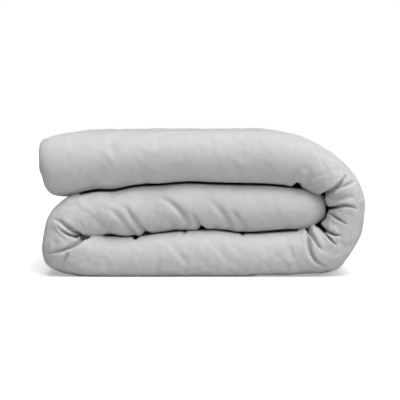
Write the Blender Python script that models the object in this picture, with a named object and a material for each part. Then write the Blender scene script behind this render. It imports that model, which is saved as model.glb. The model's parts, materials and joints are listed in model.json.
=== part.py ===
"""A filled duvet in its zipped cover, folded in half along its length and then in three.

Every piece is modelled on the duvet laid open, in the coordinates s, q and e:
s runs along the length from the tucked end to the zipped end, q across the width with 0 on the
lengthwise fold, and e through the thickness with 0 at its middle. fold_in_half() and
fold_in_three() then lay the piece into the pack. Metres, +Z up, front fold towards -Y.
"""

import math

import bmesh
import bpy
from mathutils import Vector

# The pack
LAYER_GAP = 0.0005  # between two thirds that lie on each other
BOTTOM_LEG = 0.437  # straight run of the third that the pack lies on
TOP_LEG = 0.528  # straight run of the third on top
FOLDED_DEPTH = 0.661  # from the front fold to the side seams
TUCK_CLEARANCE = 0.014  # from the end of the tucked third to the inside of the right bend
LEFT_BEND_CORE = 0.00425  # radius of the space left inside the left bend

# Half the thickness of the doubled duvet at each place along the pack
INNER_END_H = 0.036
MIDDLE_H = 0.0465
BOTTOM_H = 0.0465
RIGHT_BEND_H = 0.036
TOP_H = 0.0535
INNER_TAPER = 0.12  # length over which the tucked end gets thinner

# Cover
CLOTH = 0.0010  # a panel of the cover, hem and seam allowance averaged in
HALF_SLOT = 0.0013  # half the gap where the duvet lies on itself, which holds both reverse panels
SEAM_GAP = 0.0003  # between two panels where they are sewn together

# Inner duvet
FILL_CLEARANCE = 0.0004  # between the ticking and the cover
END_INSET = 0.014  # the cover is this much longer and wider than the duvet on each side
BLUNTING = 0.0003  # keeps the rounded edge of a channel from thinning out to nothing
CHANNEL_SEAM = 0.0006  # gap that stands for a stitched channel seam
SEAM_LOFT = 0.80  # loft left at a channel seam, as a share of the loft between seams
LOWER_CHANNELS = 11
TOP_CHANNELS = 6

# Fold at the right: how its half turn is shared between the hinges
HINGE_ANGLES = [math.radians(a) for a in (30, 90, 150)]

# Zip in the seam at the end of the top third
ZIP_HALF_LENGTH = 0.47  # of q covered on each side of the lengthwise fold
TAPE_WIDTH = 0.006
TAPE_THICKNESS = 0.0005
CHAIN_WIDTH = 0.0044
CHAIN_HEIGHT = 0.0016
STOP_LENGTH = 0.005
SLIDER_LENGTH = 0.011
SLIDER_WALL = 0.0012
SLIDER_RUN_CLEARANCE = 0.0003
PIN_RADIUS = 0.0008
LUG_LENGTH = 0.0032
LUG_THICKNESS = 0.0012
LUG_SPREAD = 0.0030  # between the two lugs, where the pull's eye sits
LUG_ROOT = 0.0005  # how far a lug goes down into the saddle
LUG_OVER_PIN = 0.0006
PULL_LENGTH = 0.024
PULL_THICKNESS = 0.0014
PULL_CLEARANCE = 0.0003
PULL_TIP = 0.001  # of the tab beyond its grip
CUTTER_OVERRUN = 0.01  # of a cutter past the piece that it cuts

# Care label sewn into the side seam of the top third
LABEL_WIDTH = 0.030
LABEL_DROP = 0.042
LABEL_THICKNESS = 0.0006
LABEL_FROM_END = 0.11  # from the zipped end to the label's near edge

# Facets
LEFT_BEND_STEPS = 8
HINGE_STEPS = 4  # between two hinges of the right bend
LEAST_STEP = 0.0008
FOLD_STEPS = 3
ROUND_ANGLES = [math.radians(a) for a in (0, 28, 58, 90)]

BOTTOM_Z = BOTTOM_H
MIDDLE_Z = 2 * BOTTOM_H + LAYER_GAP + MIDDLE_H
TOP_Z = 2 * BOTTOM_H + 2 * LAYER_GAP + 2 * MIDDLE_H + TOP_H
LEFT_BEND_RADIUS = (MIDDLE_Z - BOTTOM_Z) / 2
RIGHT_BEND_RADIUS = (TOP_Z - BOTTOM_Z) / 2
LEFT_BEND_H = LEFT_BEND_RADIUS - LEFT_BEND_CORE
MIDDLE_LEG = BOTTOM_LEG + RIGHT_BEND_RADIUS - RIGHT_BEND_H - TUCK_CLEARANCE  # the tucked third

LEFT_BEND_START = MIDDLE_LEG
LEFT_BEND_END = LEFT_BEND_START + math.pi * LEFT_BEND_RADIUS
RIGHT_BEND_START = LEFT_BEND_END + BOTTOM_LEG
RIGHT_BEND_END = RIGHT_BEND_START + math.pi * RIGHT_BEND_RADIUS
LENGTH = RIGHT_BEND_END + TOP_LEG

THICKNESS_KEYS = [
    (0.0, INNER_END_H),
    (INNER_TAPER, MIDDLE_H),
    (LEFT_BEND_START, MIDDLE_H),
    ((LEFT_BEND_START + LEFT_BEND_END) / 2, LEFT_BEND_H),
    (LEFT_BEND_END, BOTTOM_H),
    (RIGHT_BEND_START, BOTTOM_H),
    ((RIGHT_BEND_START + RIGHT_BEND_END) / 2, RIGHT_BEND_H),
    (RIGHT_BEND_END, TOP_H),
    (LENGTH, TOP_H),
]


# ---- the two folds ----


def half_thickness(s):
    """Half the thickness of the doubled duvet at s."""
    s = min(max(s, 0.0), LENGTH)
    for (s0, h0), (s1, h1) in zip(THICKNESS_KEYS, THICKNESS_KEYS[1:]):
        if s <= s1:
            t = (s - s0) / (s1 - s0)
            return h0 + (h1 - h0) * t * t * (3 - 2 * t)
    return THICKNESS_KEYS[-1][1]


def path_frame(s):
    """Point and heading of the pack's centre line at s, as x, z and radians."""
    x, z, heading = MIDDLE_LEG, MIDDLE_Z, math.pi
    legs = [
        (MIDDLE_LEG, None),
        (LEFT_BEND_END - LEFT_BEND_START, LEFT_BEND_RADIUS),
        (BOTTOM_LEG, None),
        (RIGHT_BEND_END - RIGHT_BEND_START, RIGHT_BEND_RADIUS),
        (math.inf, None),
    ]
    for length, radius in legs:
        step = min(s, length)
        if radius is None:
            x += step * math.cos(heading)
            z += step * math.sin(heading)
        else:
            turn = step / radius
            x += radius * (math.sin(heading + turn) - math.sin(heading))
            z -= radius * (math.cos(heading + turn) - math.cos(heading))
            heading += turn
        s -= step
        if s <= 0:
            break
    return x, z, heading


def fold_in_half(s, q, e):
    """(y, n) of a point of the open duvet once it is doubled over the front fold."""
    radius = half_thickness(s) / 2
    quarter = radius * math.pi / 2
    if abs(q) <= quarter:
        angle = q / radius
        return 2 * radius - (radius + e) * math.cos(angle), (radius + e) * math.sin(angle)
    return 2 * radius + abs(q) - quarter, math.copysign(radius + e, q)


def fold_in_three(s, y, n):
    """Place in the pack of a point n off the centre line, on the inner side of the bends."""
    x, z, heading = path_frame(s)
    return Vector((x - n * math.sin(heading), y, z + n * math.cos(heading)))


def folded(s, q, e):
    return fold_in_three(s, *fold_in_half(s, q, e))


def fold_edge(s):
    """q where the round of the front fold ends and the flat leaf begins."""
    return half_thickness(s) * math.pi / 4


def side_edge(s):
    """q of the side seam, which keeps the open edges of all three thirds in line."""
    return fold_edge(s) + FOLDED_DEPTH - half_thickness(s)


def across(s, share):
    """q of a share of the width: 1 is the end of the round fold and 2 the side seam."""
    size = abs(share)
    flat = side_edge(s) - fold_edge(s)
    return math.copysign(fold_edge(s) * min(size, 1) + flat * max(size - 1, 0), share)


# ---- loft of the open duvet ----


def rounded(distance, radius):
    """Share of the full loft at a distance in from a rounded edge."""
    if distance >= radius:
        return 1.0
    return math.sqrt(max(0.0, 1 - (1 - max(distance, 0.0) / radius) ** 2))


def lean(distance, radius):
    """How far a rounded edge leans inwards: 1 at the seam and 0 where the face is flat."""
    return min(max(1 - distance / radius, 0.0), 1.0)


def cover_point(s, q, side, depth):
    """Place of a point of a cover panel, depth below its outer face. side is 1 or -1."""
    full = half_thickness(s) / 2 - HALF_SLOT + CLOTH
    reach = side_edge(s) - abs(q)
    share = rounded(s, full) * rounded(LENGTH - s, full) * rounded(reach, full)
    e = SEAM_GAP / 2 + (full - depth - SEAM_GAP / 2) * share
    s += depth * (lean(s, full) - lean(LENGTH - s, full))
    q -= math.copysign(depth * lean(reach, full), q)
    return folded(s, q, side * e)


def fill_loft(s, q, start, end):
    """Half the height of a fill channel that runs from start to end."""
    full = half_thickness(s) / 2 - HALF_SLOT - FILL_CLEARANCE
    middle, half = (start + end) / 2, (end - start) / 2
    crown = 1 - (1 - SEAM_LOFT) * ((s - middle) / half) ** 2
    inset = END_INSET - BLUNTING
    share = (
        rounded(s - inset, full)
        * rounded(LENGTH - inset - s, full)
        * rounded(side_edge(s) - inset - abs(q), full)
    )
    return max(full * share * crown, CLOTH)


# ---- places where the pieces are cut ----


def is_curved(s):
    """Whether the pack bends or changes thickness at s."""
    left = LEFT_BEND_START < s < LEFT_BEND_END
    right = RIGHT_BEND_START < s < RIGHT_BEND_END
    return s < INNER_TAPER or left or right


def channel_bounds():
    """s of the seams between the fill channels, from the tucked end to the zipped end."""
    hinges = hinge_stations()
    first, last = END_INSET, LENGTH - END_INSET
    lower = [first + (hinges[0] - first) * i / LOWER_CHANNELS for i in range(LOWER_CHANNELS)]
    top = [hinges[2] + (last - hinges[2]) * i / TOP_CHANNELS for i in range(TOP_CHANNELS + 1)]
    return lower + hinges[:2] + top


def hinge_stations():
    return [RIGHT_BEND_START + RIGHT_BEND_RADIUS * angle for angle in HINGE_ANGLES]


def edge_stations(radius):
    """Distances in from a rounded edge where it is cut."""
    return [radius * (1 - math.cos(angle)) for angle in ROUND_ANGLES]


def bend_stations():
    """Cuts along s that make the two bends round, and those of the channels that lie in them."""
    left = [
        LEFT_BEND_START + (LEFT_BEND_END - LEFT_BEND_START) * i / LEFT_BEND_STEPS
        for i in range(LEFT_BEND_STEPS + 1)
    ]
    steps = HINGE_STEPS * round(math.pi / (HINGE_ANGLES[1] - HINGE_ANGLES[0]))
    right = [
        RIGHT_BEND_START + (RIGHT_BEND_END - RIGHT_BEND_START) * i / steps
        for i in range(steps + 1)
    ]
    bounds = channel_bounds()
    middles = [(start + end) / 2 for start, end in zip(bounds, bounds[1:])]
    curved = [s for s in bounds + middles if is_curved(s)]
    return [INNER_TAPER, *curved, *left, *right]


def stations_along(start, end, extra=()):
    """Sorted cuts along s from start to end, none nearer than LEAST_STEP."""
    cuts = [start]
    for s in sorted(s for s in (*bend_stations(), *extra) if start < s < end):
        if s - cuts[-1] > LEAST_STEP:
            cuts.append(s)
    return cuts + [end]


def shares_across(inset):
    """Cuts across the width, close together at the front fold and at both edges."""
    flat = FOLDED_DEPTH - BOTTOM_H
    front = [i / FOLD_STEPS for i in range(-FOLD_STEPS, FOLD_STEPS + 1)]
    edges = [2 - (inset + d) / flat for d in edge_stations(BOTTOM_H / 2)]
    return sorted(front + edges + [-share for share in edges])


# ---- building ----


def new_object(name, bm, material, collection):
    mesh = bpy.data.meshes.new(name)
    bm.to_mesh(mesh)
    bm.free()
    mesh.materials.append(material)
    mesh.shade_smooth()
    mesh.set_sharp_from_angle(angle=math.radians(50))
    obj = bpy.data.objects.new(name, mesh)
    collection.objects.link(obj)
    return obj


def cut_across(bm, axis, places):
    """Cuts the whole mesh with planes square to an axis."""
    normal = Vector((0, 0, 0))
    normal[axis] = 1
    for place in places:
        geometry = bm.verts[:] + bm.edges[:] + bm.faces[:]
        bmesh.ops.bisect_plane(bm, geom=geometry, dist=1e-6, plane_co=normal * place, plane_no=normal)


def open_box(s_cuts, q_cuts, e_low=-1.0, e_high=1.0):
    """A box of the open duvet, cut across its length at s_cuts and across its width at q_cuts."""
    bm = bmesh.new()
    bmesh.ops.create_cube(bm, size=1)
    size = Vector((s_cuts[-1] - s_cuts[0], q_cuts[-1] - q_cuts[0], e_high - e_low))
    centre = Vector((s_cuts[0] + s_cuts[-1], q_cuts[0] + q_cuts[-1], e_low + e_high)) / 2
    for vert in bm.verts:
        vert.co = Vector(a * b for a, b in zip(vert.co, size)) + centre
    cut_across(bm, 0, s_cuts[1:-1])
    cut_across(bm, 1, q_cuts[1:-1])
    return bm


def cover_panel(name, side, start, end, material, collection):
    """One panel of the cover from start to end. side is 1 for the face and -1 for the reverse."""
    ends = edge_stations(INNER_END_H / 2)
    ends += [LENGTH - d for d in edge_stations(TOP_H / 2)]
    s_cuts = stations_along(start, end, ends)
    bm = open_box(s_cuts, shares_across(0))
    for vert in bm.verts:
        s, share, layer = vert.co
        vert.co = cover_point(s, across(s, share), side, 0 if layer * side > 0 else CLOTH)
    return new_object(name, bm, material, collection)


def fill_channel(name, start, end, material, collection):
    """One stitched channel of the inner duvet, from edge to edge, over the front fold."""
    s0, s1 = start + CHANNEL_SEAM / 2, end - CHANNEL_SEAM / 2
    rounding = []
    if start <= END_INSET:
        rounding = [END_INSET + d for d in edge_stations(INNER_END_H / 2)]
    if end >= LENGTH - END_INSET:
        rounding = [LENGTH - END_INSET - d for d in edge_stations(TOP_H / 2)]
    s_cuts = stations_along(s0, s1, [(s0 + s1) / 2, *rounding])
    bm = open_box(s_cuts, shares_across(END_INSET))
    for vert in bm.verts:
        s, share, sign = vert.co
        q = across(s, share)
        vert.co = folded(s, q, sign * fill_loft(s, q, start, end))
    return new_object(name, bm, material, collection)


def zip_strip(name, e_low, e_high, out, height, q_low, q_high, material, collection):
    """A strip along the zip. out is how far its near face stands off the end seam."""
    inside = [across(LENGTH, share) for share in shares_across(0)]
    inside = [q for q in inside if q_low < q < q_high]
    bm = open_box([LENGTH + out, LENGTH + out + height], [q_low, *inside, q_high], e_low, e_high)
    for vert in bm.verts:
        vert.co = folded(*vert.co)
    return new_object(name, bm, material, collection)


def box_at_end(name, low, high, material, collection):
    """A box at the zipped end, from low to high. Each corner is out, q and e."""
    bm = bmesh.new()
    bmesh.ops.create_cube(bm, size=1)
    for vert in bm.verts:
        out, q, e = (a + (b - a) * (c + 0.5) for a, b, c in zip(low, high, vert.co))
        vert.co = folded(LENGTH + out, q, e)
    return new_object(name, bm, material, collection)


def pin_at_end(name, radius, length, out, q, material, collection):
    """A cylinder along e at the zipped end."""
    bm = bmesh.new()
    bmesh.ops.create_cone(
        bm, cap_ends=True, segments=16, radius1=radius, radius2=radius, depth=length
    )
    for vert in bm.verts:
        x, y, z = vert.co
        vert.co = folded(LENGTH + out + x, q + y, z)
    return new_object(name, bm, material, collection)


def combine(target, other, operation):
    """Joins or cuts target with a helper, which is then left out of the render."""
    modifier = target.modifiers.new(operation.lower(), "BOOLEAN")
    modifier.operation = operation
    modifier.object = other
    other.hide_render = True
    other.display_type = "WIRE"


def zip_slider(material, parts, helpers):
    """The slider: a saddle over the chain, with two lugs and the pin that carries the pull."""
    q = slider_q()
    half = SLIDER_LENGTH / 2
    under = chain_out()
    inner_top = under + CHAIN_HEIGHT + SLIDER_RUN_CLEARANCE
    top = inner_top + SLIDER_WALL
    inner = CHAIN_WIDTH / 2 + SLIDER_RUN_CLEARANCE
    outer = inner + SLIDER_WALL
    body = box_at_end("zip_slider", (under, q - half, -outer), (top, q + half, outer), material, parts)
    channel = box_at_end(
        "slider_channel",
        (under - CUTTER_OVERRUN, q - half - CUTTER_OVERRUN, -inner),
        (inner_top, q + half + CUTTER_OVERRUN, inner),
        material,
        helpers,
    )
    combine(body, channel, "DIFFERENCE")
    pin_out = pull_pin_out()
    for side in (-1, 1):
        near = side * LUG_SPREAD / 2
        far = side * (LUG_SPREAD / 2 + LUG_THICKNESS)
        lug = box_at_end(
            f"slider_lug_{side}",
            (top - LUG_ROOT, q - LUG_LENGTH / 2, min(near, far)),
            (pin_out + PIN_RADIUS + LUG_OVER_PIN, q + LUG_LENGTH / 2, max(near, far)),
            material,
            helpers,
        )
        combine(body, lug, "UNION")
    width = LUG_SPREAD + LUG_THICKNESS
    pin = pin_at_end("slider_pin", PIN_RADIUS, width, pin_out, q, material, helpers)
    combine(body, pin, "UNION")
    return body


def zip_pull(material, parts, helpers):
    """The pull: a flat tab with an eye round the slider's pin, laid along the zip."""
    q = slider_q()
    out = pull_pin_out()
    eye = PIN_RADIUS + PULL_CLEARANCE + PULL_THICKNESS / 2
    width = LUG_SPREAD / 2 - PULL_CLEARANCE
    pull = pin_at_end("zip_pull", eye, 2 * width, out, q, material, parts)
    half = PULL_THICKNESS / 2
    tab = box_at_end(
        "pull_tab",
        (out + eye - 2 * half, q + PIN_RADIUS / 2, -width),
        (out + eye, q + PULL_LENGTH, width),
        material,
        helpers,
    )
    combine(pull, tab, "UNION")
    grip = box_at_end(
        "pull_grip",
        (out + eye - 2 * half, q + SLIDER_LENGTH, -2 * width),
        (out + eye, q + PULL_LENGTH - PULL_TIP, 2 * width),
        material,
        helpers,
    )
    combine(pull, grip, "UNION")
    hole = pin_at_end(
        "pull_hole", PIN_RADIUS + PULL_CLEARANCE, 4 * width, out, q, material, helpers
    )
    combine(pull, hole, "DIFFERENCE")
    return pull


def chain_out():
    """How far the zip's chain stands off the end seam."""
    return 2 * SEAM_GAP + TAPE_THICKNESS


def pull_pin_out():
    top = chain_out() + CHAIN_HEIGHT + SLIDER_RUN_CLEARANCE + SLIDER_WALL
    return top + PIN_RADIUS + PULL_CLEARANCE + PULL_THICKNESS / 2 + PULL_CLEARANCE


def slider_q():
    """The slider rests at the closed end of the zip, at the back of the upper leaf."""
    return -(ZIP_HALF_LENGTH - STOP_LENGTH - SEAM_GAP - SLIDER_LENGTH / 2)


def care_label(material, collection):
    """A blank label that hangs from the side seam down the open edge."""
    s = LENGTH - LABEL_FROM_END
    top = folded(s, -side_edge(s), 0)
    low = Vector((0, SEAM_GAP, -LABEL_DROP)) + top
    high = Vector((LABEL_WIDTH, SEAM_GAP + LABEL_THICKNESS, 0)) + top
    bm = bmesh.new()
    bmesh.ops.create_cube(bm, size=1)
    for vert in bm.verts:
        vert.co = Vector(a + (b - a) * (c + 0.5) for a, b, c in zip(low, high, vert.co))
    return new_object("care_label", bm, material, collection)


def new_material(name, colour, roughness, metallic=0.0):
    material = bpy.data.materials.new(name)
    material.use_nodes = True
    shader = material.node_tree.nodes["Principled BSDF"]
    shader.inputs["Base Color"].default_value = (*colour, 1)
    shader.inputs["Roughness"].default_value = roughness
    shader.inputs["Metallic"].default_value = metallic
    return material


def centre_on_floor(parts):
    """Moves every part so that the pack's box stands on z = 0 with x = y = 0 at its middle."""
    bpy.context.view_layer.update()
    graph = bpy.context.evaluated_depsgraph_get()
    corners = []
    for obj in parts.objects:
        mesh = obj.evaluated_get(graph).to_mesh()
        corners += [vert.co.copy() for vert in mesh.vertices]
        obj.evaluated_get(graph).to_mesh_clear()
    low = Vector(min(c[i] for c in corners) for i in range(3))
    high = Vector(max(c[i] for c in corners) for i in range(3))
    shift = Vector((-(low.x + high.x) / 2, -(low.y + high.y) / 2, -low.z))
    for obj in bpy.data.objects:
        obj.location += shift
    return shift


def main():
    for obj in list(bpy.data.objects):
        bpy.data.objects.remove(obj)
    scene = bpy.context.scene.collection
    parts = bpy.data.collections.new("duvet")
    helpers = bpy.data.collections.new("cutters")
    scene.children.link(parts)
    scene.children.link(helpers)

    cloth = new_material("cover_cloth", (0.62, 0.62, 0.61), 0.9)
    ticking = new_material("fill_ticking", (0.86, 0.86, 0.84), 0.85)
    tape = new_material("zip_tape", (0.52, 0.52, 0.51), 0.8)
    metal = new_material("zip_metal", (0.66, 0.66, 0.67), 0.35, 1.0)
    label = new_material("label_satin", (0.88, 0.88, 0.86), 0.5)

    gap = SEAM_GAP / 2
    hinges = hinge_stations()
    spans = {
        "lower": (0.0, hinges[0] - gap),
        "bend_low": (hinges[0] + gap, hinges[1] - gap),
        "bend_high": (hinges[1] + gap, hinges[2] - gap),
        "top": (hinges[2] + gap, LENGTH),
    }
    for place, (start, end) in spans.items():
        cover_panel(f"cover_face_{place}", 1, start, end, cloth, parts)
        cover_panel(f"cover_reverse_{place}", -1, start, end, cloth, parts)

    bounds = channel_bounds()
    for number, (start, end) in enumerate(zip(bounds, bounds[1:]), 1):
        fill_channel(f"fill_channel_{number:02d}", start, end, ticking, parts)

    reach = ZIP_HALF_LENGTH
    half_chain = CHAIN_WIDTH / 2
    tape_out = SEAM_GAP
    zip_strip("zip_tape_face", gap, TAPE_WIDTH, tape_out, TAPE_THICKNESS, -reach, reach, tape, parts)
    zip_strip(
        "zip_tape_reverse", -TAPE_WIDTH, -gap, tape_out, TAPE_THICKNESS, -reach, reach, tape, parts
    )
    ends = reach - STOP_LENGTH - SEAM_GAP
    zip_strip(
        "zip_chain", -half_chain, half_chain, chain_out(), CHAIN_HEIGHT, -ends, ends, tape, parts
    )
    for name, low, high in (
        ("zip_stop_closed", -reach, -reach + STOP_LENGTH),
        ("zip_stop_open", reach - STOP_LENGTH, reach),
    ):
        height = CHAIN_HEIGHT + SLIDER_WALL
        zip_strip(name, -half_chain, half_chain, chain_out(), height, low, high, metal, parts)
    zip_slider(metal, parts, helpers)
    zip_pull(metal, parts, helpers)
    care_label(label, parts)

    shift = centre_on_floor(parts)
    for number, station in enumerate(hinges, 1):
        pivot = cover_point(station, -side_edge(station) / 2, 1, 0) + shift
        print(f"hinge {number} at x {pivot.x:.5f} z {pivot.z:.5f}")
    pin = folded(LENGTH + pull_pin_out(), slider_q(), 0) + shift
    print(f"pull pin at {pin.x:.5f} {pin.y:.5f} {pin.z:.5f}")
    travel = -slider_q() - fold_edge(LENGTH) - SLIDER_LENGTH / 2 - SEAM_GAP
    print(f"slider travel {travel:.4f}")


main()
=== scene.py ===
import json
import math
import bpy
import numpy as np
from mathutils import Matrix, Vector


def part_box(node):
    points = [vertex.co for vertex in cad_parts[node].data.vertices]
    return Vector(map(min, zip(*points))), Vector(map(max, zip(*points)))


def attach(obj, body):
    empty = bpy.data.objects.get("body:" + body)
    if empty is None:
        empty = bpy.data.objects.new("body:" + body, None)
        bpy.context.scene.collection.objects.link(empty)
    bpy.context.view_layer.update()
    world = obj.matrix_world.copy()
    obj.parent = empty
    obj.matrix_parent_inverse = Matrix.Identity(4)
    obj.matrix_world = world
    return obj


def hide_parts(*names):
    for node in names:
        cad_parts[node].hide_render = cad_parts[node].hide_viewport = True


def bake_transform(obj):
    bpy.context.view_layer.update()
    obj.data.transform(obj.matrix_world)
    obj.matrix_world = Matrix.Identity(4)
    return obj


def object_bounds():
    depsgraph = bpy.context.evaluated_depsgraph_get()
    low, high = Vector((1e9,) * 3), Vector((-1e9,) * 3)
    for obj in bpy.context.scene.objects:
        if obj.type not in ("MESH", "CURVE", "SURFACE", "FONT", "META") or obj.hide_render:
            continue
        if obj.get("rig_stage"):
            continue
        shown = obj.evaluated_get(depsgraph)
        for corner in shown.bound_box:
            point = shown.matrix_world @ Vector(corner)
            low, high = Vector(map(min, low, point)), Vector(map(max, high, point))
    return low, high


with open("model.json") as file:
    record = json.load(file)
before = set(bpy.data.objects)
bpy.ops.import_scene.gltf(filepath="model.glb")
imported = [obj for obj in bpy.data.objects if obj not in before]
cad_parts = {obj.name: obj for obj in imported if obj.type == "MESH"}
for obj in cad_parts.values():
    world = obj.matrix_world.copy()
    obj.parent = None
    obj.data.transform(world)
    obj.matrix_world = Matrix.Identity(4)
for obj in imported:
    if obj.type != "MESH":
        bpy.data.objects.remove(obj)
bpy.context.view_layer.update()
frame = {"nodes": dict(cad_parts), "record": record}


def clearSelection():
    if bpy.context.mode != "OBJECT":
        bpy.ops.object.mode_set(mode="OBJECT")
    bpy.ops.object.select_all(action="DESELECT")


def pick(*objects):  # the last one becomes the active object
    clearSelection()
    for item in objects:
        item.select_set(True)
    bpy.context.view_layer.objects.active = objects[-1]


def getPoints(item):
    flat = np.empty(len(item.data.vertices) * 3)
    item.data.vertices.foreach_get("co", flat)
    return flat.reshape(-1, 3)


def setPoints(item, points):
    item.data.vertices.foreach_set("co", np.asarray(points, np.float32).ravel())
    item.data.update()


def getNormals(item):
    flat = np.empty(len(item.data.vertices) * 3)
    item.data.vertex_normals.foreach_get("vector", flat)
    return flat.reshape(-1, 3)


def getCorners(item):  # the vertex at each corner of each face
    corners = np.empty(len(item.data.loops), int)
    item.data.loops.foreach_get("vertex_index", corners)
    return corners


def getNumbers(item, label):
    values = np.empty(len(item.data.vertices))
    item.data.attributes[label].data.foreach_get("value", values)
    return values


def setUv(item, pairs):  # one pair for each vertex
    item.data.uv_layers[0].data.foreach_set("uv", pairs[getCorners(item)].ravel())


def dress(item, material):
    item.data.materials.clear()
    item.data.materials.append(material)


def weld(item, distance):  # closes the seams of a piece and turns its faces outwards
    pick(item)
    bpy.ops.object.mode_set(mode="EDIT")
    bpy.ops.mesh.select_all(action="SELECT")
    bpy.ops.mesh.remove_doubles(threshold=distance)
    bpy.ops.mesh.normals_make_consistent(inside=False)
    bpy.ops.object.mode_set(mode="OBJECT")
    bpy.ops.object.shade_smooth()


def smoothStep(t):
    t = np.clip(t, 0, 1)
    return t * t * (3 - 2 * t)


def curveThrough(keys, at):  # smooth curve through rows whose first number is the place along it
    keys = np.asarray(keys, float)
    place, values = keys[:, 0], keys[:, 1:]
    slopes = np.gradient(values, place, axis=0)
    at = np.clip(np.asarray(at, float), place[0], place[-1])
    i = np.clip(np.searchsorted(place, at, side="right") - 1, 0, len(place) - 2)
    span = (place[i + 1] - place[i])[..., None]
    t = (at - place[i])[..., None] / span
    a, b, ma, mb = values[i], values[i + 1], slopes[i] * span, slopes[i + 1] * span
    start = (2 * t**3 - 3 * t**2 + 1) * a + (t**3 - 2 * t**2 + t) * ma
    return start + (3 * t**2 - 2 * t**3) * b + (t**3 - t**2) * mb


print("fold plan")

foldPlan = {
    "layerGap": 0.0005,  # between thirds that lie on each other
    "bottomLeg": 0.437,
    "topLeg": 0.528,
    "depth": 0.661,  # front fold to side seams
    "endHalf": 0.036,  # half thickness of the doubled duvet at each place
    "middleHalf": 0.0465,
    "bottomHalf": 0.0465,
    "rightBendHalf": 0.036,
    "topHalf": 0.0535,
    "taper": 0.12,
    "tuckClearance": 0.014,
    "leftBendCore": 0.00425,  # free in the middle of the left bend
    "hinges": (30, 90, 150),  # degrees round the right bend
}

bottomZ = foldPlan["bottomHalf"]
middleZ = 2 * foldPlan["bottomHalf"] + foldPlan["layerGap"] + foldPlan["middleHalf"]
topZ = 2 * (foldPlan["bottomHalf"] + foldPlan["layerGap"] + foldPlan["middleHalf"]) + foldPlan["topHalf"]
leftRadius = (middleZ - bottomZ) / 2
rightRadius = (topZ - bottomZ) / 2
middleLeg = foldPlan["bottomLeg"] + rightRadius - foldPlan["rightBendHalf"] - foldPlan["tuckClearance"]
leftStart = middleLeg
leftEnd = leftStart + math.pi * leftRadius
rightStart = leftEnd + foldPlan["bottomLeg"]
rightEnd = rightStart + math.pi * rightRadius
duvetLength = rightEnd + foldPlan["topLeg"]

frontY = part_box("cover_face_lower")[0].y
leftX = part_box("cover_face_top")[0].x  # the end seam of the top third
shiftX = leftX - (foldPlan["bottomLeg"] - foldPlan["topLeg"])


def halfThickness(s):
    plan = foldPlan
    keys = [
        (0, plan["endHalf"]), (plan["taper"], plan["middleHalf"]), (leftStart, plan["middleHalf"]),
        ((leftStart + leftEnd) / 2, leftRadius - plan["leftBendCore"]), (leftEnd, plan["bottomHalf"]),
        (rightStart, plan["bottomHalf"]), ((rightStart + rightEnd) / 2, plan["rightBendHalf"]),
        (rightEnd, plan["topHalf"]), (duvetLength, plan["topHalf"]),
    ]
    places, sizes = np.array(keys).T
    i = np.clip(np.searchsorted(places, s, side="right") - 1, 0, len(places) - 2)
    t = smoothStep((s - places[i]) / (places[i + 1] - places[i]))
    return sizes[i] + (sizes[i + 1] - sizes[i]) * t


def middlePath(s):  # x, z and heading of the middle of the doubled duvet
    left = np.clip((s - leftStart) / leftRadius, 0, math.pi)
    right = np.clip((s - rightStart) / rightRadius, 0, math.pi)
    x = middleLeg - np.minimum(s, leftStart) - leftRadius * np.sin(left)
    x = x + np.clip(s - leftEnd, 0, foldPlan["bottomLeg"]) + rightRadius * np.sin(right)
    x = x - np.maximum(s - rightEnd, 0)
    z = middleZ - leftRadius * (1 - np.cos(left)) + rightRadius * (1 - np.cos(right))
    return x + shiftX, z, math.pi + left + right


print("cover")

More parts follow.
